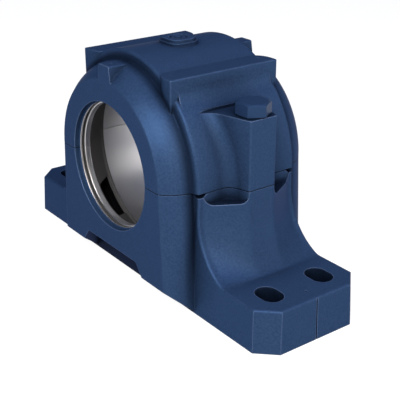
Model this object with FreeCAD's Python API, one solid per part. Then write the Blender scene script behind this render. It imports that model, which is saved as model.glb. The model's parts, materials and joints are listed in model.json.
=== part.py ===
# A split plummer block: a cast bearing housing in two halves on a four-slot foot.
# X runs along the foot, Y along the bore, and Z up from the foot's underside.
# The origin is under the middle of the bore. All sizes are in millimetres.
import FreeCAD, Part
import math
import os

# Bore axis and the chamber that holds the bearing.
axis_height = 100.0
seat_diameter = 160.0
seat_width = 65.0
shoulder_radius = 68.5
shoulder_width = 3.5
shoulder_taper = 1.0
land_radius = 51.0
land_width = 4.8
land_to_face = 8.8
groove_radius = 55.5
groove_width = 2.4
lip_radius = 52.0
lip_width = 1.6
opening_radius = 53.2

# Shell round the seat, between its two ribs.
seat_wall = 10.0
shell_width = 93.0
shell_draft = 0.04
rib_round = 2.2

# Collars at both ends of the bore.
housing_width = 141.2
collar_wall = 17.8
valley_depth = 6.4
valley_setback = 3.2
collar_bulge = 3.6
collar_crown = 0.8
valley_round = 1.6
collar_flare = 0.058
collar_clearance = 18.7
collar_root = 1.5
collar_edge_round = 1.2

# Relief under each collar.
relief_length = 90.0
relief_height = 10.8
relief_slope = 8.0
relief_round = 3.5

# Foot.
foot_length = 345.0
foot_height = 35.0
foot_chamfer_x = 14.3
foot_chamfer_y = 15.1
foot_edge_round = 1.8
sweep_radius = 52.0
sweep_foot_radius = 14.0
sweep_drop = 48.0
slot_setback = 25.0
slot_spacing_y = 50.0
slot_length = 24.0
slot_width = 18.0
seam_width = 0.9
seam_depth = 0.5

# Bolt pillars.
bolt_setout = 5.0
pillar_half_width = 12.5
pillar_taper = 0.27
pillar_height = 55.4
pillar_blend = 11.0
pillar_edge_round = 1.2
pillar_fold = 10.0
crease_fold = 6.0
fold_steps = 4
pillar_spare = 2.0
seat_half_width = 31.5
seat_bite = 0.6

# Recesses in the base, just under the joint.
pocket_depth = 9.5
pocket_reach = 14.0
pocket_margin = 0.5
pocket_round = 8.5
pocket_pillar_round = 7.0
pry_radius = 7.5
pry_floor_radius = 4.5
pry_height = 3.0

# Rails, saddle, tabs and boss on top of the cap.
saddle_rise = 1.2
saddle_half_width = 48.0
saddle_round = 2.5
rail_inner = 38.0
rail_width = 23.5
rail_half_length = 51.5
rail_end_round = 16.0
rail_blend = 18.0
rail_edge_round = 0.9
rail_drop = 1.1
rail_root = 8.0
tab_half_width = 7.0
tab_setdown = 6.5
tab_edge_round = 1.5
tab_foot_half_width = 9.4
tab_foot_drop = 1.7
tab_flare_run = 12.5
tab_flare_drop = 8.3
tab_blend = 5.0
pad_side = 27.0
pad_rise = 2.0
boss_side = 24.5
boss_rise = 2.4
boss_corner = 8.5
boss_edge_round = 0.6

# Cap bolts.
bolt_diameter = 16.0
bolt_clearance = 0.75
bolt_across_flats = 24.0
bolt_head_height = 10.0
bolt_crown_slope = 30.0
bolt_crown_margin = 1.0
bolt_washer_diameter = 22.4
bolt_washer_height = 0.8
bolt_engagement = 32.0
bolt_end_chamfer = 1.2
bolt_turn = 2.0
tap_spare_depth = 6.0
thread_clearance = 0.04

# Dowels in the joint face.
dowel_diameter = 6.0
dowel_length = 16.0
dowel_chamfer = 0.6
dowel_wall = 6.5
dowel_clearance = 0.02
dowel_end_gap = 0.5

# Grease plug.
plug_diameter = 13.0
plug_length = 8.0
plug_chamfer = 0.8
plug_sink = 0.6
plug_socket_flats = 7.0
plug_socket_depth = 4.5
plug_countersink = 1.5
oil_hole_diameter = 5.0

# Setting-out dimples.
dimple_diameter = 2.4
dimple_depth = 1.2
rail_dimple_inset = 9.0
tab_dimple_inset = 7.0
foot_dimple_inset = 12.0

# Lubricant recesses beside the seat, in the base. The angles are degrees below the joint.
sump_radius = 75.0
sump_lap = 3.0
sump_start_inside = 43.0
sump_start_outside = 22.0
sump_end_inside = 86.0
sump_end_outside = 50.0
sump_margin = 1.6
sump_corner = 2.0

# How far cuts run past the surfaces that they open on, and how close counts as touching.
overrun = 1.0
touch = 0.01

# Worked out from the sizes above.
seat_radius = seat_diameter / 2
flank_radius = seat_radius + seat_wall
saddle_radius = flank_radius + saddle_rise
collar_radius = opening_radius + collar_wall
valley_radius = flank_radius - valley_depth
half_shell = shell_width / 2
half_housing = housing_width / 2
half_foot = half_shell + shell_draft * axis_height
valley_y = half_shell + valley_setback
fold_y = half_shell - 2 * foot_edge_round
bolt_x = flank_radius + bolt_setout
pillar_end = bolt_x + pillar_half_width
pillar_top = axis_height + pillar_height
slot_x = foot_length / 2 - slot_setback
sweep_turn = math.asin((sweep_drop - sweep_foot_radius) / (sweep_radius - sweep_foot_radius))
sweep_run = sweep_radius - (sweep_radius - sweep_foot_radius) * math.cos(sweep_turn)
sweep_end = flank_radius + sweep_run
rail_outer = rail_inner + rail_width
rail_top = axis_height + math.sqrt(saddle_radius ** 2 - rail_inner ** 2) - rail_drop
tab_top = axis_height + flank_radius - tab_setdown
boss_top = axis_height + saddle_radius + pad_rise + boss_rise
dowel_x = seat_radius + seat_wall - dowel_wall - dowel_diameter / 2
dowel_y = (seat_width / 2 + half_shell) / 2
full_reach = foot_length + housing_width


def vec(x, y, z):
    return FreeCAD.Vector(x, y, z)


def on_section(x, z):
    """Places a point of a lengthwise section, in the plane y = 0."""
    return vec(x, 0, z)


def on_half_plan(r, y):
    """Places a point of a turned profile: radius along X, at the bore axis."""
    return vec(r, y, axis_height)


def unit(a, b):
    return (b - a).normalize()


def rounded_wire(corners, place):
    """Closed outline through (u, v, radius) corners, each rounded by a tangent arc."""
    points = [place(c[0], c[1]) for c in corners]
    count = len(points)
    starts = []
    ends = []
    middles = []
    for i, point in enumerate(points):
        radius = corners[i][2]
        if radius == 0:
            starts.append(point)
            ends.append(point)
            middles.append(None)
            continue
        back = unit(point, points[i - 1])
        ahead = unit(point, points[(i + 1) % count])
        half_angle = back.getAngle(ahead) / 2
        run = radius / math.tan(half_angle)
        bisector = (back + ahead).normalize()
        starts.append(point + back * run)
        ends.append(point + ahead * run)
        middles.append(point + bisector * (radius / math.sin(half_angle) - radius))
    edges = []
    for i in range(count):
        if middles[i] is not None:
            edges.append(Part.Arc(starts[i], middles[i], ends[i]).toShape())
        following = starts[(i + 1) % count]
        if (following - ends[i]).Length > 1e-6:
            edges.append(Part.LineSegment(ends[i], following).toShape())
    return Part.Wire(edges)


def prism(corners, place, direction):
    return Part.Face(rounded_wire(corners, place)).extrude(direction)


def turned(corners):
    """Solid turned about the bore axis from (radius, y, rounding) corners."""
    face = Part.Face(rounded_wire(corners, on_half_plan))
    return face.revolve(vec(0, 0, axis_height), vec(0, 1, 0), 360)


def block(low, high):
    size = [high[i] - low[i] for i in range(3)]
    return Part.makeBox(size[0], size[1], size[2], vec(*low))


def rod(radius, low, height):
    return Part.makeCylinder(radius, height, vec(*low))


def mirrored_x(shape):
    return shape.mirror(vec(0, 0, 0), vec(1, 0, 0))


def mirrored_y(shape):
    return shape.mirror(vec(0, 0, 0), vec(0, 1, 0))


def four_ways(shape):
    pair = [shape, mirrored_x(shape)]
    return pair + [mirrored_y(s) for s in pair]


def fused(shapes):
    return shapes[0].fuse(shapes[1:]).removeSplitter()


def foot_half_width(z):
    """Half width of the drafted front and rear faces at height z."""
    return half_foot - shell_draft * z


def middle(edge):
    return edge.valueAt((edge.FirstParameter + edge.LastParameter) / 2)


def rounded_edges(shape, radius, wanted):
    return shape.makeFillet(radius, [e for e in shape.Edges if wanted(middle(e))])


# Shell and collars


def collar_side(grow):
    """Outline of a collar from its ring face to the valley: (radius, y, rounding)."""
    face = vec(collar_radius + grow, half_housing, 0)
    crown = vec((collar_radius + valley_radius) / 2 + collar_bulge + grow, (half_housing + valley_y) / 2, 0)
    valley = vec(valley_radius + grow, valley_y, 0)
    turn = unit(face, crown).getAngle(unit(crown, valley))
    run = collar_crown * min((crown - face).Length, (valley - crown).Length)
    return [
        (face.x, face.y, collar_edge_round),
        (crown.x, crown.y, run / math.tan(turn / 2)),
        (valley.x, valley.y, 0),
    ]


def shell():
    """The whole turned outside: collar, valley, ribbed drum, valley, collar."""
    side = collar_side(0)
    half = side[:2] + [
        (valley_radius, valley_y, valley_round),
        (flank_radius, half_shell, rib_round),
    ]
    front = [(r, -y, rounding) for r, y, rounding in half]
    inner = opening_radius - collar_wall
    corners = [(inner, -half_housing, 0)] + front + half[::-1] + [(inner, half_housing, 0)]
    return turned(corners)


def chamber():
    """Everything that is bored out, from one face to the other."""
    lip_y = half_housing - land_to_face + groove_width
    land_y = half_housing - land_to_face
    shoulder_y = seat_width / 2 + shoulder_width
    outside = half_housing + overrun
    half = [
        (opening_radius, outside),
        (opening_radius, lip_y + lip_width),
        (lip_radius, lip_y + lip_width),
        (lip_radius, lip_y),
        (groove_radius, lip_y),
        (groove_radius, land_y),
        (land_radius, land_y),
        (land_radius, land_y - land_width),
        (shoulder_radius, shoulder_y),
        (shoulder_radius + shoulder_taper, seat_width / 2),
        (seat_radius, seat_width / 2),
    ]
    front = [(r, -y, 0) for r, y in half]
    rear = [(r, y, 0) for r, y in half[::-1]]
    return turned([(0, -outside, 0)] + front + rear + [(0, outside, 0)])


def base_collar():
    """Front collar of the base: legs that flare downwards and run back into the foot."""
    spread = collar_flare * axis_height

    def outline(z, grow):
        def place(x, y):
            return vec(x, y, z)
        side = [(x, -y, rounding) for x, y, rounding in collar_side(grow)]
        side.append((valley_radius + grow, -half_shell + rib_round, 0))
        other = [(-x, y, rounding) for x, y, rounding in side[::-1]]
        return rounded_wire(side + other, place)

    collar = Part.makeLoft([outline(axis_height, 0), outline(0, spread)], True, True)
    return collar.cut([collar_underside(), collar_relief()])


def collar_underside():
    """Room under the front collar, sloping from its face down to the root at the foot."""
    back = foot_half_width(collar_root)
    slope = (collar_clearance - collar_root) / (half_housing - back)
    corners = [
        (-half_housing - overrun, -overrun, 0),
        (-half_housing - overrun, collar_clearance + slope * overrun, 0),
        (-back + (collar_root + overrun) / slope, -overrun, 0),
    ]

    def place(y, z):
        return vec(-flank_radius - half_housing, y, z)

    return prism(corners, place, vec(2 * (flank_radius + half_housing), 0, 0))


def collar_relief():
    half = relief_length / 2
    top = collar_clearance + relief_height
    foot = half + relief_slope * (collar_clearance + overrun) / relief_height
    corners = [
        (-foot, -overrun, 0),
        (-half + relief_slope, top, relief_round),
        (half - relief_slope, top, relief_round),
        (foot, -overrun, 0),
    ]
    cut = prism(corners, on_section, vec(0, half_housing, 0))
    cut.translate(vec(0, -half_foot - half_housing, 0))
    return cut


# Base


def sweep_arc(radius, first, last, centre, place):
    """Arc from one angle below the horizontal to another, as a curve that place() may stretch."""
    reach = 4 / 3 * math.tan((last - first) / 4) * radius
    poles = []
    for angle, step in ((first, 0), (first, reach), (last, -reach), (last, 0)):
        x = centre[0] - radius * math.cos(angle) + step * math.sin(angle)
        z = centre[1] - radius * math.sin(angle) - step * math.cos(angle)
        poles.append(place(x, z))
    curve = Part.BezierCurve()
    curve.setPoles(poles)
    return curve.toShape()


def sweep(half_length, side, y):
    """Curve from the upright end of the body down onto the foot, tangent to both."""
    stretch = (sweep_end - half_length) / sweep_run

    def place(run, z):
        return vec(side * (half_length + stretch * run), y, z)

    start = foot_height + sweep_drop
    small = (sweep_run, foot_height + sweep_foot_radius)
    return [
        sweep_arc(sweep_radius, 0, sweep_turn, (sweep_radius, start), place),
        sweep_arc(sweep_foot_radius, sweep_turn, math.pi / 2, small, place),
    ]


def body_section(half_length, y):
    top = axis_height
    start = foot_height + sweep_drop
    edges = [Part.LineSegment(vec(-half_length, y, top), vec(half_length, y, top)).toShape()]
    edges.append(Part.LineSegment(vec(half_length, y, top), vec(half_length, y, start)).toShape())
    edges += sweep(half_length, 1, y)
    edges.append(Part.LineSegment(vec(sweep_end, y, foot_height), vec(-sweep_end, y, foot_height)).toShape())
    edges += sweep(half_length, -1, y)
    edges.append(Part.LineSegment(vec(-half_length, y, start), vec(-half_length, y, top)).toShape())
    return Part.Wire(Part.__sortEdges__(edges))


def fold_plan():
    """Half lengths of the body from its middle out, with both folds rounded: (length, y)."""
    turn = math.atan((pillar_end - flank_radius) / (fold_y - pillar_half_width))
    pillar_y = pillar_half_width - pillar_fold * math.tan(turn / 2)
    crease_y = fold_y + crease_fold * math.tan(turn / 2)
    plan = []
    for i in range(fold_steps + 1):
        angle = turn * i / fold_steps
        inset = pillar_fold * (1 - math.cos(angle))
        plan.append((pillar_end - inset, pillar_y + pillar_fold * math.sin(angle)))
    for i in range(fold_steps, -1, -1):
        angle = turn * i / fold_steps
        rise = crease_fold * (1 - math.cos(angle))
        plan.append((flank_radius + rise, crease_y - crease_fold * math.sin(angle)))
    return plan + [(flank_radius, half_foot)]


def base_body():
    """Middle of the base, folded out to the pillars and swept down onto the foot."""
    plan = fold_plan()
    front = [body_section(length, -y) for length, y in plan[::-1]]
    rear = [body_section(length, y) for length, y in plan]
    return Part.makeLoft(front + rear, True, True)


def foot_outline(z):
    half_x = foot_length / 2 + shell_draft * (foot_height - z)
    half_y = foot_half_width(z)
    corner = [
        (half_x - foot_chamfer_x, -half_y),
        (half_x, -half_y + foot_chamfer_y),
    ]
    right = corner + [(x, -y) for x, y in corner[::-1]]
    left = [(-x, -y) for x, y in right]
    points = [vec(x, y, z) for x, y in right + left]
    return Part.makePolygon(points + points[:1])


def drafted_body():
    """Foot and middle in one, with drafted faces and rounded upper edges."""
    foot = Part.makeLoft([foot_outline(0), foot_outline(foot_height)], True, True)
    low = foot_half_width(foot_height)
    high = foot_half_width(axis_height)
    corners = [
        (-low, foot_height, 0),
        (low, foot_height, 0),
        (high, axis_height, 0),
        (-high, axis_height, 0),
    ]

    def place(y, z):
        return vec(-foot_length, y, z)

    wedge = prism(corners, place, vec(2 * foot_length, 0, 0))
    solid = fused([foot, base_body().common(wedge)])

    def wanted(point):
        on_face = abs(abs(point.y) - foot_half_width(point.z)) < touch
        upper = foot_height - touch < point.z < axis_height - touch
        foot_rim = abs(point.z - foot_height) < touch and abs(point.x) > sweep_end + touch
        return upper and (on_face or foot_rim)

    return rounded_edges(solid, foot_edge_round, wanted)


def slot(x, y):
    half = slot_length / 2 - slot_width / 2
    top = foot_height + sweep_drop
    ends = [rod(slot_width / 2, (x + s * half, y, -overrun), top + overrun) for s in (-1, 1)]
    run = block((x - half, y - slot_width / 2, -overrun), (x + half, y + slot_width / 2, top))
    return fused(ends + [run])


def foot_seam(side):
    """Shallow joint line left by the mould on an end face of the foot."""
    x = side * (foot_length / 2 + shell_draft * foot_height)
    width = seam_width / 2
    depth = seam_depth + shell_draft * foot_height
    return block((x - depth, -width, -overrun), (x + depth, width, foot_height + overrun))


def flank_pocket():
    """Recess under the joint between the rib and the pillar, at +X and -Y."""
    start = vec(flank_radius, -fold_y, 0)
    end = vec(pillar_end, -pillar_half_width, 0)
    along = unit(start, end)
    inward = vec(-along.y, along.x, 0)
    length = (end - start).Length
    origin = start - inward + vec(0, 0, axis_height)

    def place(u, z):
        return origin + along * u + vec(0, 0, z)

    corners = [
        (pocket_margin, overrun, 0),
        (pocket_margin, -pocket_depth, pocket_round),
        (length, -pocket_depth, pocket_pillar_round),
        (length, overrun, 0),
    ]
    return prism(corners, place, inward * (pocket_reach + overrun)).cut(flank())


def pry_gap():
    """Notch for a lever under the rib, at +X and -Y, deepest in its middle."""
    bottom = vec(flank_radius, -half_shell, axis_height - pry_height)
    return Part.makeCone(pry_floor_radius, pry_radius, pry_height, bottom)


def below_joint(radius, angle):
    """Point at this radius and this many degrees below the joint, at +X."""
    turn = math.radians(angle)
    return (radius * math.cos(turn), axis_height - radius * math.sin(turn), 0)


def sump():
    """Recess for lubricant between a land and the seat shoulder, at +X and -Y."""
    front = -(half_housing - land_to_face - land_width - sump_margin)
    back = -(seat_width / 2 + shoulder_width + sump_margin)
    inside = land_radius - sump_lap
    ring = turned([
        (inside, front, 0),
        (sump_radius, front, sump_corner),
        (sump_radius, back, sump_corner),
        (inside, back, 0),
    ])
    outside = 2 * sump_radius - inside
    wedge = prism([
        below_joint(inside, sump_start_inside),
        below_joint(outside, sump_start_outside),
        below_joint(outside, sump_end_outside),
        below_joint(inside, sump_end_inside),
    ], on_section, vec(0, -half_housing, 0))
    return ring.common(wedge)


def tapped_hole(side):
    depth = bolt_engagement + tap_spare_depth
    radius = bolt_diameter / 2 + thread_clearance
    foot = (side * bolt_x, 0, axis_height - depth)
    tip = Part.makeCone(0, radius, radius / 2, vec(foot[0], 0, foot[2] - radius / 2))
    return rod(radius, foot, depth + overrun).fuse(tip)


def dowel_place(side):
    return (side * dowel_x, -side * dowel_y)


def dimple(x, y, z):
    return Part.makeCone(0, dimple_diameter / 2, dimple_depth, vec(x, y, z - dimple_depth))


def housing_base():
    front = base_collar()
    solid = fused([drafted_body(), front, mirrored_y(front)])
    cuts = [chamber()]
    for x in (-slot_x, slot_x):
        for y in (-slot_spacing_y / 2, slot_spacing_y / 2):
            cuts.append(slot(x, y))
    cuts += four_ways(flank_pocket())
    cuts += four_ways(pry_gap())
    cuts += four_ways(sump())
    for side in (-1, 1):
        x, y = dowel_place(side)
        radius = dowel_diameter / 2 + dowel_clearance
        cuts.append(tapped_hole(side))
        cuts.append(foot_seam(side))
        cuts.append(rod(radius, (x, y, axis_height - dowel_length / 2), dowel_length))
        cuts.append(dimple(side * (foot_length / 2 - foot_dimple_inset), 0, foot_height))
    return solid.cut(cuts)


# Cap


def pillar_prism():
    """Tapered block through the drum, whose ends are the two bolt pillars."""
    middle_half_width = pillar_half_width + pillar_taper * pillar_end
    corners = [
        (pillar_end, -pillar_half_width, pillar_edge_round),
        (pillar_end, pillar_half_width, pillar_edge_round),
        (0, middle_half_width, 0),
        (-pillar_end, pillar_half_width, pillar_edge_round),
        (-pillar_end, -pillar_half_width, pillar_edge_round),
        (0, -middle_half_width, 0),
    ]
    bottom = axis_height - 2 * pocket_depth

    def place(x, y):
        return vec(x, y, bottom)

    return prism(corners, place, vec(0, 0, pillar_top + pillar_spare - bottom))


def flank():
    """Drum with its pillars, blended along their sides."""
    solid = fused([shell(), pillar_prism()])

    def wanted(point):
        radius = math.hypot(point.x, point.z - axis_height)
        on_drum = abs(radius - flank_radius) < touch
        beside = pillar_half_width + touch < abs(point.y) < half_shell - rib_round
        return on_drum and beside and abs(point.x) > flank_radius / 2

    return rounded_edges(solid, pillar_blend, wanted)


def above_seat(side):
    """Room for the bolt head over a pillar."""
    reach = math.sqrt(flank_radius ** 2 - pillar_height ** 2) - seat_bite
    near = side * reach
    far = side * (pillar_end + overrun)
    low = (min(near, far), -seat_half_width, pillar_top)
    high = (max(near, far), seat_half_width, pillar_top + 2 * pillar_spare)
    return block(low, high)


def rail(side):
    """Rail with a rounded inner corner at each end, blended down to the drum."""
    depth = axis_height + math.sqrt(valley_radius ** 2 - rail_outer ** 2) - rail_root
    centre_x = rail_outer + rail_blend
    reach = flank_radius + rail_blend
    centre_z = math.sqrt(reach ** 2 - centre_x ** 2)
    on_drum = flank_radius / reach
    corners = [
        (side * rail_inner, -rail_half_length, rail_end_round),
        (side * rail_outer, -rail_half_length, rail_edge_round),
        (side * rail_outer, rail_half_length, rail_edge_round),
        (side * rail_inner, rail_half_length, rail_end_round),
    ]

    def place(x, y):
        return vec(x, y, depth)

    bar = prism(corners, place, vec(0, 0, rail_top - depth))
    bar = rounded_edges(bar, rail_edge_round, lambda p: abs(p.z - rail_top) < touch)
    y = -half_shell + rib_round
    wall = vec(side * rail_outer, y, axis_height + centre_z)
    drum = vec(side * centre_x * on_drum, y, axis_height + centre_z * on_drum)
    centre = vec(side * centre_x, y, axis_height + centre_z)
    inner = centre + (wall + drum - centre * 2).normalize() * rail_blend
    deep = vec(side * rail_inner, y, axis_height + centre_z * on_drum - rail_root)
    edges = [
        Part.Arc(wall, inner, drum).toShape(),
        Part.LineSegment(drum, deep).toShape(),
        Part.LineSegment(deep, wall).toShape(),
    ]
    web = Part.Face(Part.Wire(edges)).extrude(vec(0, -2 * y, 0))
    return bar.fuse(web)


def saddle():
    """Raised arch between the rails."""
    inner = seat_radius
    corners = [
        (inner, -saddle_half_width, 0),
        (saddle_radius, -saddle_half_width, saddle_round),
        (saddle_radius, saddle_half_width, saddle_round),
        (inner, saddle_half_width, 0),
    ]
    reach = rail_inner + rail_end_round
    window = block(
        (-reach, -half_housing, axis_height),
        (reach, half_housing, axis_height + saddle_radius + overrun),
    )
    return turned(corners).common(window)


def tab():
    """Flat-topped stop on the crown of the front collar."""
    crown = axis_height + collar_radius
    low = crown - collar_wall / 2
    knee = crown - tab_foot_drop
    wide = tab_foot_half_width + tab_flare_run
    right = [
        (wide, low, 0),
        (wide, knee - tab_flare_drop, 0),
        (tab_foot_half_width, knee, tab_blend),
        (tab_half_width, tab_top, tab_edge_round),
    ]
    corners = right + [(-x, z, rounding) for x, z, rounding in right[::-1]]
    solid = prism(corners, on_section, vec(0, half_housing - half_shell, 0))
    solid.translate(vec(0, -half_housing, 0))
    return solid


def square_pad(side_length, top):
    half = side_length / 2
    bottom = axis_height + seat_radius + seat_wall / 2
    square = ((-half, -half), (half, -half), (half, half), (-half, half))
    corners = [(x, y, boss_corner) for x, y in square]

    def place(x, y):
        return vec(x, y, bottom)

    pad = prism(corners, place, vec(0, 0, top - bottom))
    return rounded_edges(pad, boss_edge_round, lambda p: abs(p.z - top) < touch)


def plug_hole():
    top = boss_top
    radius = plug_diameter / 2 + thread_clearance
    depth = plug_sink + plug_length
    sunk = vec(0, 0, top - plug_countersink)
    mouth = Part.makeCone(radius, radius + plug_countersink, plug_countersink, sunk)
    oil_length = top - depth - axis_height
    oil = rod(oil_hole_diameter / 2, (0, 0, axis_height), oil_length + overrun)
    return [rod(radius, (0, 0, top - depth), depth + overrun), mouth, oil]


def housing_cap():
    front = tab()
    pieces = [flank(), rail(1), rail(-1), saddle(), front, mirrored_y(front)]
    pieces += [square_pad(pad_side, boss_top - boss_rise), square_pad(boss_side, boss_top)]
    solid = fused(pieces)
    low = (-full_reach, -full_reach, axis_height)
    high = (full_reach, full_reach, axis_height + full_reach)
    solid = solid.common(block(low, high))
    cuts = [chamber(), above_seat(1), above_seat(-1)]
    cuts += plug_hole()
    for side in (-1, 1):
        x, y = dowel_place(side)
        dowel_radius = dowel_diameter / 2 + dowel_clearance
        dowel_depth = dowel_length / 2 + dowel_end_gap
        bolt_radius = bolt_diameter / 2 + bolt_clearance
        under = axis_height - overrun
        cuts.append(rod(dowel_radius, (x, y, under), dowel_depth + overrun))
        cuts.append(rod(bolt_radius, (side * bolt_x, 0, under), pillar_height + 2 * overrun))
        cuts.append(dimple(0, side * (half_housing - tab_dimple_inset), tab_top))
        for end in (-1, 1):
            x = side * (rail_inner + rail_width / 2)
            cuts.append(dimple(x, end * (rail_half_length - rail_dimple_inset), rail_top))
    return solid.cut(cuts)


# Fasteners


def hexagon(across_flats, low, height, turn):
    radius = across_flats / math.sqrt(3)
    points = []
    for i in range(6):
        angle = math.radians(turn + 60 * i)
        points.append(vec(low[0] + radius * math.cos(angle), low[1] + radius * math.sin(angle), low[2]))
    return Part.Face(Part.makePolygon(points + points[:1])).extrude(vec(0, 0, height))


def cap_bolt(side):
    x = side * bolt_x
    under_head = pillar_top + bolt_washer_height
    head = hexagon(bolt_across_flats, (x, 0, under_head), bolt_head_height, side * bolt_turn)
    slope = math.tan(math.radians(bolt_crown_slope))
    cone_radius = bolt_across_flats / 2 - bolt_crown_margin + bolt_head_height / slope
    head = head.common(Part.makeCone(cone_radius, 0, cone_radius * slope, vec(x, 0, under_head)))
    washer = rod(bolt_washer_diameter / 2, (x, 0, pillar_top), bolt_washer_height)
    length = pillar_height + bolt_engagement
    bottom = pillar_top - length
    shank = rod(bolt_diameter / 2, (x, 0, bottom), length)
    tip = [e for e in shank.Edges if e.Closed and abs(middle(e).z - bottom) < touch]
    return fused([head, washer, shank.makeChamfer(bolt_end_chamfer, tip)])


def dowel(side):
    x, y = dowel_place(side)
    pin = rod(dowel_diameter / 2, (x, y, axis_height - dowel_length / 2), dowel_length)
    return pin.makeChamfer(dowel_chamfer, [e for e in pin.Edges if e.Closed])


def grease_plug():
    top = boss_top - plug_sink
    body = rod(plug_diameter / 2, (0, 0, top - plug_length), plug_length)
    body = body.makeChamfer(plug_chamfer, [e for e in body.Edges if e.Closed])
    floor = (0, 0, top - plug_socket_depth)
    return body.cut(hexagon(plug_socket_flats, floor, plug_socket_depth + overrun, 0))


def write(name, shape):
    shape.exportStep("parts/" + name + ".step")
    low = shape.BoundBox
    print(name, "solids", len(shape.Solids), "valid", shape.isValid(), "volume", round(shape.Volume))
    print("  x %.1f..%.1f y %.1f..%.1f z %.1f..%.1f" % (
        low.XMin, low.XMax, low.YMin, low.YMax, low.ZMin, low.ZMax))


def main():
    os.makedirs("parts", exist_ok=True)
    write("housing_base", housing_base())
    write("housing_cap", housing_cap())
    for side, name in ((1, "right"), (-1, "left")):
        write("cap_bolt_" + name, cap_bolt(side))
        write("dowel_" + name, dowel(side))
    write("grease_plug", grease_plug())


main()
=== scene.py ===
# %% [markdown]
# # A split plummer block, dressed
# The real object is a bearing housing: a grey iron casting in two halves, sprayed satin navy blue all over,
# with its bore turned bright afterwards. The solids come ready made and in place. This lesson gives each of
# them the surface that it has in life, and then lights them plainly.

# %% Load the solids
import json
import math

import bpy
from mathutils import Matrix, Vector

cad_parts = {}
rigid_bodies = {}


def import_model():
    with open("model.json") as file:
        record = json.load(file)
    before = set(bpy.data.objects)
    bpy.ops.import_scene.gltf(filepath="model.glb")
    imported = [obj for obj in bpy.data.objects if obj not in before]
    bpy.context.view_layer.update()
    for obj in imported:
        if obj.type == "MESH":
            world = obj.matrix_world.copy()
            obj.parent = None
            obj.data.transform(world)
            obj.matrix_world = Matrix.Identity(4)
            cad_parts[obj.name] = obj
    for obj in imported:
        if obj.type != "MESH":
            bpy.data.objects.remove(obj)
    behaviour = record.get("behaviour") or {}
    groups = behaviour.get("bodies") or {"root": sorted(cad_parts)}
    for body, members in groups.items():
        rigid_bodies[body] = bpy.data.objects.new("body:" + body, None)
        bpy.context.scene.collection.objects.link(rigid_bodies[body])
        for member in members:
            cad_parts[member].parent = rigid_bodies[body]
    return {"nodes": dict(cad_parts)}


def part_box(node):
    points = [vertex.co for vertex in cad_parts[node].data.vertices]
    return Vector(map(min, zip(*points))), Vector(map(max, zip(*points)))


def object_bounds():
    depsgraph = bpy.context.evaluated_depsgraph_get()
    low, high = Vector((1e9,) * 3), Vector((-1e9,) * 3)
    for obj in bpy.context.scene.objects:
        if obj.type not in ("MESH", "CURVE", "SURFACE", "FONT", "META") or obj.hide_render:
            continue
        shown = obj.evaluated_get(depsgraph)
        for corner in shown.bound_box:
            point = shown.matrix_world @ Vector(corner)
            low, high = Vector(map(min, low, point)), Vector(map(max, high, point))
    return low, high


for leftover in list(bpy.data.objects):
    bpy.data.objects.remove(leftover)
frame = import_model()
cad_low, cad_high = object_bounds()
print("solids:", sorted(frame["nodes"]))

# %% [markdown]
# ## Sizes
# Everything below is in metres, like the solids. The few sizes that the surfaces need are those of the bore,
# because the spray gun stopped at its mouth and the lathe cut the rest. They are read off the solids where
# the solids show them, and are otherwise the sizes that the bore was turned to.

# %% Sizes of the bore
MM = 0.001
base_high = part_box("housing_base")[1]
joint_height = base_high.z
half_housing = base_high.y

seat_radius = 80 * MM
seat_half_width = 32.5 * MM
shoulder_width = 3.5 * MM
shoulder_radius = 68.5 * MM
recess_radius = 75 * MM
land_radius = 51 * MM
lip_radius = 52 * MM
groove_radius = 55.5 * MM
land_depth = 8.8 * MM
land_width = 4.8 * MM
lead_in = 4.8 * MM
skin = 0.3 * MM
# Radii and distances of the valleys beside the collars, which get painted shade.
rib_radius = 89 * MM
valley_radius = 86 * MM
valley_start = 46.6 * MM
valley_lead = 1 * MM
valley_middle = 50.5 * MM
valley_end = 57 * MM

shoulder = seat_half_width + shoulder_width + skin
land = half_housing - land_depth - land_width - skin
mouth = half_housing - lead_in - skin
print("joint at", round(joint_height / MM, 1), "mm, half width", round(half_housing / MM, 1), "mm")
print("bare metal starts", round((half_housing - mouth) / MM, 1), "mm inside each face")

# %% [markdown]
# ## Three helpers
# Colours are picked as sRGB hex values, the way a paint chart prints them, and Blender wants linear light, so
# one function turns the first into the second. Another adds a shader node, fills its settings and wires it
# up, and the last starts a material. With these three, a whole finish stays a page long.

# %% Helpers


def colour(hex_code):
    """Linear RGBA of an sRGB hex colour."""
    parts = [int(hex_code[i:i + 2], 16) / 255 for i in (1, 3, 5)]
    return [c / 12.92 if c <= 0.04045 else ((c + 0.055) / 1.055) ** 2.4 for c in parts] + [1]


def add(tree, kind, inputs=None, **settings):
    """Adds a node, then fills its inputs with values or with links from other nodes."""
    made = tree.nodes.new(kind)
    for name, value in settings.items():
        setattr(made, name, value)
    for socket, value in (inputs or {}).items():
        if isinstance(value, bpy.types.NodeSocket):
            tree.links.new(value, made.inputs[socket])
        else:
            made.inputs[socket].default_value = value
    return made


def new_material(name):
    """An empty material whose output is ready for a shader."""
    material = bpy.data.materials.new(name)
    material.use_nodes = True
    tree = material.node_tree
    tree.nodes.clear()
    return material, tree, tree.nodes.new("ShaderNodeOutputMaterial")


print("mid grey as light:", round(colour("#808080")[0], 3))

# %% [markdown]
# ## The enamel's colours and grain
# A sand mould leaves a faint orange-peel skin, and the enamel flows over it, so no face is quite flat to the
# light. The blue varies a little with the film's thickness. The enamel carries fine metal flakes: they give
# the broad blue sheen along each curve, so part of the shader is metallic. They lie under the blue, so even
# their glint at a flat angle comes out blue. All sizes are real ones in millimetres, and a noise texture's
# scale is one over the size of its grains.

# %% Colours and grain sizes
ENAMEL = "#283e60"
ENAMEL_THIN = "#344c6f"
# Pale blue of the painted highlight on open outer edges.
EDGE_HIGHLIGHT_BLUE = "#7288b0"
FLAKE_GLINT = "#7288b0"
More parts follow.
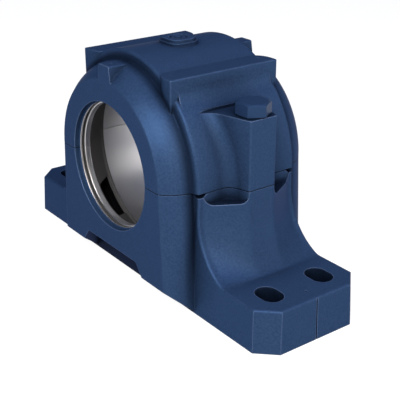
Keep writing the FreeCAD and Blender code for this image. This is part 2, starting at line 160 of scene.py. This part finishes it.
# Dark navy of the joint line, also used for the painted shade in corners and valleys.
JOINT_LINE_AND_SHADE = "#0b1322"
TURNED_IRON = "#e2e2e4"
RAW_IRON = "#5c5c5d"
# Near black painted into the recesses behind the cone, as painted shade.
RECESS_SHADE_BLACK = "#0c0d10"

flake_share = 0.38
enamel_gloss = 0.02
grain_size = 1.6 * MM
ripple_size = 9 * MM
edge_round = 1.5 * MM
joint_line = 0.35 * MM
grain_share = 0.7
bevel_rays = 6
print("grain scale", round(1 / grain_size), "ripple scale", round(1 / ripple_size))

# %% [markdown]
# ## Where the paint stops
# The paint ends just inside each mouth of the bore, and beyond that the iron is bare: bright where the lathe
# cut it, dark where the casting was left raw, and near black in the recesses behind the cone, as painted
# shade. All of it is round about the bore's axis, so two numbers say where a point lies: its radius, and its
# distance along the bore from the middle. One ramp turns the second into the greatest radius that belongs to
# a zone. A point is in the zone if its own radius is less, so one comparison makes each mask.

# %% Zones of the bore


def distance_from_axis(tree, position):
    """How far a point lies from the bore's axis."""
    moved = add(tree, "ShaderNodeVectorMath", {0: position, 1: (0, 0, -joint_height)}, operation="ADD")
    flat = add(tree, "ShaderNodeVectorMath", {0: moved.outputs[0], 1: (1, 0, 1)}, operation="MULTIPLY")
    return add(tree, "ShaderNodeVectorMath", {0: flat.outputs[0]}, operation="LENGTH").outputs["Value"]


def steps_along(tree, distance, stops, interpolation="CONSTANT"):
    """A value that changes with the distance from the middle of the bore."""
    share = add(tree, "ShaderNodeMath", {0: distance, 1: half_housing}, operation="DIVIDE")
    ramp = add(tree, "ShaderNodeValToRGB", {0: share.outputs[0]})
    ramp.color_ramp.interpolation = interpolation
    for i, (start, value) in enumerate(stops):
        points = ramp.color_ramp.elements
        point = points[i] if i < 2 else points.new(start / half_housing)
        point.position = start / half_housing
        point.color = (value, value, value, 1)
    return ramp.outputs["Color"]


def bore_zones(tree, radius, along):
    """Masks of the bare iron, of the bright turned iron and of the recesses that get painted shade."""
    reach = steps_along(tree, along, [
        (0, seat_radius + skin), (shoulder, recess_radius + skin), (land, groove_radius + skin), (mouth, 0),
    ])
    turned = steps_along(tree, along, [
        (0, seat_radius + skin), (seat_half_width - skin, 0), (land, lip_radius + skin), (mouth, 0),
    ])
    bare = add(tree, "ShaderNodeMath", {0: radius, 1: reach}, operation="LESS_THAN").outputs[0]
    bright = add(tree, "ShaderNodeMath", {0: radius, 1: turned}, operation="LESS_THAN").outputs[0]
    cone = add(tree, "ShaderNodeMapRange", {
        "Value": along, "From Min": shoulder, "From Max": land,
        "To Min": shoulder_radius + 2 * skin, "To Max": land_radius + 2 * skin,
    }).outputs[0]
    behind = add(tree, "ShaderNodeMath", {0: radius, 1: cone}, operation="GREATER_THAN").outputs[0]
    beside = steps_along(tree, along, [(0, 0), (shoulder, 1), (land, 0)])
    recess_shade = add(tree, "ShaderNodeMath", {0: behind, 1: beside}, operation="MULTIPLY").outputs[0]
    return bare, bright, recess_shade


print("zones from the middle:", [round(v / MM, 1) for v in (seat_half_width, shoulder, land, mouth)], "mm")

# %% [markdown]
# ## The colour of the casting
# Paint and iron are mixed by the masks. Open outer edges are painted paler, as a painted highlight. A dark
# line marks the joint, where the two halves meet and paint never bridges the gap. The valleys and the corners
# are painted darker, as painted shade. An Ambient Occlusion node measures how open each point is to the air.
# It would take the floor for a wall, so low on the foot a second one sees the casting alone.

# %% Casting colour
# Corners shut in from the air get painted shade: how far the node looks and how dark they turn.
corner_reach = 30 * MM
corner_shade = 0.95
shut_in = 0.45
foot_blend = 10 * MM
openness_rays = 6
# How strongly open outer edges get the painted highlight.
edge_highlight_share = 0.6
edge_begins = 0.99
edge_full = 0.85
open_begins = 0.72
open_full = 0.88
valley_shade = 0.75
thick_grain = 0.3
thin_grain = 0.7


def mixed(tree, factor, first, second):
    """One colour turning into another by a factor."""
    made = add(tree, "ShaderNodeMix", {"Factor": factor, "A": first, "B": second}, data_type="RGBA")
    return made.outputs["Result"]


def enamel_colour(tree, position, grain):
    """Enamel that is thinner on the tops of the grain and varies in wide ripples."""
    ripple = add(tree, "ShaderNodeTexNoise", {"Vector": position, "Scale": 1 / ripple_size, "Detail": 3})
    paler_share = add(tree, "ShaderNodeMapRange", {"Value": grain, "From Min": thick_grain, "From Max": thin_grain})
    both = add(tree, "ShaderNodeMix", {
        "Factor": grain_share, "A": ripple.outputs["Fac"], "B": paler_share.outputs[0],
    })
    return mixed(tree, both.outputs["Result"], colour(ENAMEL), colour(ENAMEL_THIN))


def daylight(tree, height):
    """How open a point is: as its own casting leaves it near the floor, and as all solids do above."""
    reach = {"Distance": corner_reach}
    own = add(tree, "ShaderNodeAmbientOcclusion", reach, samples=openness_rays, only_local=True)
    every = add(tree, "ShaderNodeAmbientOcclusion", reach, samples=openness_rays)
    above_foot = add(tree, "ShaderNodeMapRange", {
        "Value": height, "From Min": corner_reach, "From Max": corner_reach + foot_blend,
    })
    made = add(tree, "ShaderNodeMix", {
        "Factor": above_foot.outputs[0], "A": own.outputs["AO"], "B": every.outputs["AO"],
    })
    return made.outputs["Result"]


def painted_edge_highlight(tree, paint, rounded, open_air):
    """Painted highlight: paler paint on an open outer edge, where the rounded normal leaves the true one."""
    flat = add(tree, "ShaderNodeNewGeometry").outputs["Normal"]
    along = add(tree, "ShaderNodeVectorMath", {0: flat, 1: rounded}, operation="DOT_PRODUCT").outputs["Value"]
    edge = add(tree, "ShaderNodeMapRange", {
        "Value": along, "From Min": edge_begins, "From Max": edge_full, "To Max": edge_highlight_share,
    }).outputs[0]
    outer = add(tree, "ShaderNodeMapRange", {
        "Value": open_air, "From Min": open_begins, "From Max": open_full,
    }).outputs[0]
    paler_share = add(tree, "ShaderNodeMath", {0: edge, 1: outer}, operation="MULTIPLY").outputs[0]
    return mixed(tree, paler_share, paint, colour(EDGE_HIGHLIGHT_BLUE))


def lined_at_joint(tree, paint, height):
    """The dark line where the two halves meet."""
    off_joint = add(tree, "ShaderNodeMath", {0: height, 1: joint_height}, operation="SUBTRACT")
    line = add(tree, "ShaderNodeMath", {0: off_joint.outputs[0], 1: 0, 2: joint_line}, operation="COMPARE")
    return mixed(tree, line.outputs[0], paint, colour(JOINT_LINE_AND_SHADE))


def painted_shade_in_corners(tree, paint, open_air, radius):
    """Painted shade: the same paint, darker wherever a corner outside the mouth shuts out the air."""
    shut = add(tree, "ShaderNodeMapRange", {
        "Value": open_air, "From Min": 1, "From Max": shut_in, "To Max": corner_shade,
    }).outputs[0]
    outside = add(tree, "ShaderNodeMath", {0: radius, 1: groove_radius}, operation="GREATER_THAN").outputs[0]
    shade = add(tree, "ShaderNodeMath", {0: shut, 1: outside}, operation="MULTIPLY").outputs[0]
    return mixed(tree, shade, paint, colour(JOINT_LINE_AND_SHADE))


def painted_shade_in_valleys(tree, paint, position, along):
    """Painted shade: the same paint, darker in the valleys between the drum and its collars."""
    lifted = add(tree, "ShaderNodeVectorMath", {0: position, 1: (0, 0, joint_height)}, operation="SUBTRACT")
    above = add(tree, "ShaderNodeVectorMath", {0: lifted.outputs[0], 1: (-1, -1, 0)}, operation="MAXIMUM")
    flat = add(tree, "ShaderNodeVectorMath", {0: above.outputs[0], 1: (1, 0, 1)}, operation="MULTIPLY")
    depth = add(tree, "ShaderNodeVectorMath", {0: flat.outputs[0]}, operation="LENGTH").outputs["Value"]
    low = add(tree, "ShaderNodeMapRange", {"Value": depth, "From Min": rib_radius, "From Max": valley_radius})
    band = steps_along(tree, along, [
        (0, 0), (valley_start, 0), (valley_start + valley_lead, 1), (valley_middle, 1), (valley_end, 0),
    ], "LINEAR")
    inside = add(tree, "ShaderNodeMath", {0: band, 1: low.outputs[0]}, operation="MULTIPLY")
    shade = add(tree, "ShaderNodeMath", {0: inside.outputs[0], 1: valley_shade}, operation="MULTIPLY")
    return mixed(tree, shade.outputs[0], paint, colour(JOINT_LINE_AND_SHADE))


print("corners darken within", round(corner_reach / MM), "mm")

# %% [markdown]
# ## Grain, soft edges and the finished casting
# A Bevel node rounds the edges in the shading alone, which leaves the solids as they are, and a bump on top
# of it gives the cast grain outside and fine turning rings inside. The rings are a noise with one coordinate
# only, the distance along the bore.

# %% Casting finish
cast_depth = 0.14 * MM
turning_pitch = 0.5 * MM
ring_share = 0.015
paint_smoothest = 0.38
paint_roughest = 0.5
turned_roughness = 0.34
raw_roughness = 0.8


def grained_normal(tree, rounded, grain, along, bright):
    """Normals of a cast skin outside and of a turned one inside."""
    rings = add(tree, "ShaderNodeTexNoise", {"W": along, "Scale": 1 / turning_pitch}, noise_dimensions="1D")
    faint = add(tree, "ShaderNodeMath", {0: rings.outputs["Fac"], 1: ring_share}, operation="MULTIPLY")
    height = add(tree, "ShaderNodeMix", {"Factor": bright, "A": grain, "B": faint.outputs[0]})
    bump = add(tree, "ShaderNodeBump", {
        "Strength": 1, "Distance": cast_depth, "Height": height.outputs["Result"], "Normal": rounded,
    })
    return bump.outputs["Normal"]


def enamelled_casting():
    """Satin navy enamel, sprayed on sand-cast grey iron whose bore was turned after it."""
    material, tree, output = new_material("satin_enamel_on_cast_iron")
    position = add(tree, "ShaderNodeTexCoord").outputs["Object"]
    axes = add(tree, "ShaderNodeSeparateXYZ", {0: position}).outputs
    along = add(tree, "ShaderNodeMath", {0: axes["Y"]}, operation="ABSOLUTE").outputs[0]
    radius = distance_from_axis(tree, position)
    bare, bright, recess_shade = bore_zones(tree, radius, along)

    iron = mixed(tree, recess_shade, colour(RAW_IRON), colour(RECESS_SHADE_BLACK))
    iron = mixed(tree, bright, iron, colour(TURNED_IRON))
    grain = add(tree, "ShaderNodeTexNoise", {
        "Vector": position, "Scale": 1 / grain_size, "Detail": 2, "Roughness": 0.6,
    }).outputs["Fac"]
    rounded = add(tree, "ShaderNodeBevel", {"Radius": edge_round}, samples=bevel_rays).outputs["Normal"]
    open_air = daylight(tree, axes["Z"])
    paint = painted_edge_highlight(tree, enamel_colour(tree, position, grain), rounded, open_air)
    # Painted shade in the valleys and in the corners, and the dark line at the joint.
    paint = painted_shade_in_valleys(tree, paint, position, along)
    paint = painted_shade_in_corners(tree, lined_at_joint(tree, paint, axes["Z"]), open_air, radius)
    skin_colour = mixed(tree, bare, paint, iron)

    rough_paint = add(tree, "ShaderNodeMapRange", {
        "Value": grain, "To Min": paint_smoothest, "To Max": paint_roughest,
    })
    rough_iron = add(tree, "ShaderNodeMapRange", {
        "Value": bright, "To Min": raw_roughness, "To Max": turned_roughness,
    })
    roughness = add(tree, "ShaderNodeMix", {
        "Factor": bare, "A": rough_paint.outputs[0], "B": rough_iron.outputs[0],
    })
    metal = add(tree, "ShaderNodeMix", {"Factor": bare, "A": flake_share, "B": bright})
    surface = add(tree, "ShaderNodeBsdfPrincipled", {
        "Base Color": skin_colour, "Metallic": metal.outputs["Result"],
        "Roughness": roughness.outputs["Result"], "Specular IOR Level": enamel_gloss,
        "Specular Tint": mixed(tree, bare, colour(FLAKE_GLINT), colour(TURNED_IRON)),
        "Normal": grained_normal(tree, rounded, grain, along, bright),
    })
    tree.links.new(surface.outputs[0], output.inputs["Surface"])
    return material


casting_finish = enamelled_casting()
for name in ("housing_base", "housing_cap"):
    frame["nodes"][name].material_slots[0].material = casting_finish
    print("enamel on", name)

# %% [markdown]
# ## Cap bolts and grease plug: the same enamel on forged steel
# The bolts were in place when the housing was sprayed, so they are the same blue. Their faces are forged, not
# cast, so the grain is finer and the sheen a little tighter.

# %% Enamelled fasteners
forged_grain = 0.7 * MM
forged_depth = 0.05 * MM
forged_strength = 0.25
bolt_roughness = 0.42
plug_roughness = 0.4


def enamelled_steel(name, roughness):
    """The housing's enamel on a forged part, whose own surface is finer than a casting's."""
    material, tree, output = new_material(name)
    position = add(tree, "ShaderNodeTexCoord").outputs["Object"]
    grain = add(tree, "ShaderNodeTexNoise", {"Vector": position, "Scale": 1 / forged_grain, "Detail": 2})
    rounded = add(tree, "ShaderNodeBevel", {"Radius": edge_round / 2}, samples=bevel_rays)
    bump = add(tree, "ShaderNodeBump", {
        "Strength": forged_strength, "Distance": forged_depth, "Height": grain.outputs["Fac"],
        "Normal": rounded.outputs["Normal"],
    })
    surface = add(tree, "ShaderNodeBsdfPrincipled", {
        "Base Color": colour(ENAMEL), "Metallic": flake_share, "Roughness": roughness,
        "Specular IOR Level": enamel_gloss, "Normal": bump.outputs["Normal"],
    })
    tree.links.new(surface.outputs[0], output.inputs["Surface"])
    return material


bolt_finish = enamelled_steel("satin_enamel_on_forged_steel", bolt_roughness)
plug_finish = enamelled_steel("satin_enamel_on_plug", plug_roughness)
for name, finish, slot_name in (
    ("cap_bolt_right", bolt_finish, "bolt_paint"),
    ("cap_bolt_left", bolt_finish, "bolt_paint"),
    ("grease_plug", plug_finish, "plug_steel"),
):
    frame["nodes"][name].material_slots[0].material = finish
    print("enamel on", name)

# %% [markdown]
# ## Dowels: ground steel
# The two pins sit in the joint and only show when the cap is lifted. Grinding leaves fine rings round a pin,
# closer together than a render can show, so they are drawn a little coarser.

# %% Ground pins
GROUND_STEEL = "#b9bbbf"
grinding_pitch = 0.3 * MM
grinding_depth = 0.02 * MM
grinding_strength = 0.2
ground_roughness = 0.25


def ground_steel():
    """Bare steel, ground between wheels."""
    material, tree, output = new_material("ground_steel")
    position = add(tree, "ShaderNodeTexCoord").outputs["Object"]
    height = add(tree, "ShaderNodeSeparateXYZ", {0: position}).outputs["Z"]
    rings = add(tree, "ShaderNodeTexNoise", {"W": height, "Scale": 1 / grinding_pitch}, noise_dimensions="1D")
    bump = add(tree, "ShaderNodeBump", {
        "Strength": grinding_strength, "Distance": grinding_depth, "Height": rings.outputs["Fac"],
    })
    surface = add(tree, "ShaderNodeBsdfPrincipled", {
        "Base Color": colour(GROUND_STEEL), "Metallic": 1, "Roughness": ground_roughness,
        "Normal": bump.outputs["Normal"],
    })
    tree.links.new(surface.outputs[0], output.inputs["Surface"])
    return material


pin_finish = ground_steel()
for name in ("dowel_right", "dowel_left"):
    frame["nodes"][name].material_slots[0].material = pin_finish
    print("ground steel on", name)

# %% [markdown]
# ## Floor
# The block stands on plain white. A matt floor that is lit only by the lamps would come out grey, and more
# light would bleach the blue, so the floor glows by itself. It does so only for what looks at it: the camera,
# a reflection or a clear body. Apart from its reflection it throws no extra light on the object, and it still
# takes the shadow.

# %% White floor
BACKDROP_WHITE = "#ffffff"
FLOOR_GREY = "#808080"
floor_lift = 0.92
floor_gap = 0.2 * MM
floor_size = 40


def seen_directly(tree):
    """1 for what the camera, a reflection or a clear body looks at, and 0 for what lights the object."""
    rays = add(tree, "ShaderNodeLightPath").outputs
    mirror = add(tree, "ShaderNodeMath", {0: rays["Is Glossy Ray"], 1: rays["Is Transmission Ray"]},
                 operation="MAXIMUM")
    seen = add(tree, "ShaderNodeMath", {0: rays["Is Camera Ray"], 1: mirror.outputs[0]}, operation="MAXIMUM")
    return seen.outputs[0]


def white_floor():
    """Matt paper that looks white and passes little light on to the object."""
    material, tree, output = new_material("matt_white_floor")
    lift = add(tree, "ShaderNodeMath", {0: seen_directly(tree), 1: floor_lift}, operation="MULTIPLY")
    surface = add(tree, "ShaderNodeBsdfPrincipled", {
        "Base Color": colour(FLOOR_GREY), "Roughness": 1, "Specular IOR Level": 0,
        "Emission Color": colour(BACKDROP_WHITE), "Emission Strength": lift.outputs[0],
    })
    tree.links.new(surface.outputs[0], output.inputs["Surface"])
    return material


bpy.ops.mesh.primitive_plane_add(size=floor_size, location=(0, 0, cad_low.z - floor_gap))
floor = bpy.context.object
floor.name = "floor"
floor.data.materials.append(white_floor())
print("floor", round(floor_gap / MM, 1), "mm under the foot")

# %% [markdown]
# ## Sky
# A dim even sky fills the shadows. It is brighter near the horizon than overhead, as a white studio wall is,
# which lights the upright faces a little more than the flat ones.

# %% Sky
SKY_BLUE = "#c8d6ff"
horizon_light = 0.26
sky_light = 0.2
horizon_band = 0.2

world = bpy.data.worlds.new("studio")
bpy.context.scene.world = world
world.use_nodes = True
sky = world.node_tree
sky.nodes.clear()
upward = add(sky, "ShaderNodeSeparateXYZ", {0: add(sky, "ShaderNodeTexCoord").outputs["Generated"]})
strength = add(sky, "ShaderNodeMapRange", {
    "Value": upward.outputs["Z"], "From Max": horizon_band, "To Min": horizon_light, "To Max": sky_light,
})
back = add(sky, "ShaderNodeBackground", {"Color": colour(SKY_BLUE), "Strength": strength.outputs[0]})
add(sky, "ShaderNodeOutputWorld", {"Surface": back.outputs[0]})
print("sky from", horizon_light, "at the horizon to", sky_light)

# %% [markdown]
# ## Camera
# The camera stands where the photographer's did: between the front face and the right end, a little above the
# block and far enough away for a long lens. It looks down at the block, isn't rolled, and needs no shift.

# %% Camera
view_azimuth = math.radians(53.19)
view_elevation = math.radians(23.84)
camera_place = (0.5771, -0.4102, 0.3650)
sensor_width_mm = 36
focal_length_mm = 80.47


def direction(azimuth, elevation):
    """Unit vector towards a compass angle, counted from the front face, and a height, in radians."""
    level = math.cos(elevation)
    return Vector((math.sin(azimuth) * level, -math.cos(azimuth) * level, math.sin(elevation)))


camera = bpy.data.objects.new("camera", bpy.data.cameras.new("camera"))
camera.location = camera_place
camera.rotation_euler = (-direction(view_azimuth, view_elevation)).to_track_quat("-Z", "Y").to_euler()
camera.data.sensor_width = sensor_width_mm
camera.data.lens = focal_length_mm
bpy.context.scene.collection.objects.link(camera)
bpy.context.scene.camera = camera
print("camera", round(camera.location.length, 2), "m from the foot's middle")

# %% [markdown]
# ## Lamps
# Five soft square lamps stand round the object. The key lamp is up and to the left of the camera, where it
# draws the broad sheen down the near collar. A cool one high beyond the right end lights the tops, as a north
# window would, and two warm ones light that end and its pillar. The last stands behind on the right. It
# shines through the far opening, and the camera sees it mirrored in the bearing seat.

# %% Lamps
PLAIN_LIGHT = "#fffaf4"
WARM_LIGHT = "#ffe4c4"
NORTH_LIGHT = "#9dbdff"


def softbox(name, azimuth, elevation, distance, size, power, hex_code):
    """A square lamp that looks at the middle of the object from a compass angle and a height."""
    away = direction(math.radians(azimuth), math.radians(elevation))
    lamp = bpy.data.objects.new(name, bpy.data.lights.new(name, "AREA"))
    lamp.data.size = size
    lamp.data.energy = power
    lamp.data.color = colour(hex_code)[:3]
    lamp.location = (cad_low + cad_high) / 2 + away * distance
    lamp.rotation_euler = (-away).to_track_quat("-Z", "Y").to_euler()
    bpy.context.scene.collection.objects.link(lamp)
    print(name, power, "W at", azimuth, "and", elevation, "degrees")


softbox("key_softbox", 34, 38, 1.5, 0.9, 23, PLAIN_LIGHT)
softbox("top_softbox", 110, 62, 1.5, 1.0, 5, NORTH_LIGHT)
softbox("side_softbox", 88, 36, 0.7, 0.45, 2.2, WARM_LIGHT)
softbox("low_softbox", 72, 14, 1.5, 1.2, 3.7, WARM_LIGHT)
softbox("rear_softbox", 124, 18, 0.9, 0.45, 1, PLAIN_LIGHT)

# %% [markdown]
# ## Finish
# The Standard view shows the colours as they were picked.

# %% Finish
scene = bpy.context.scene
scene.view_settings.view_transform = "Standard"
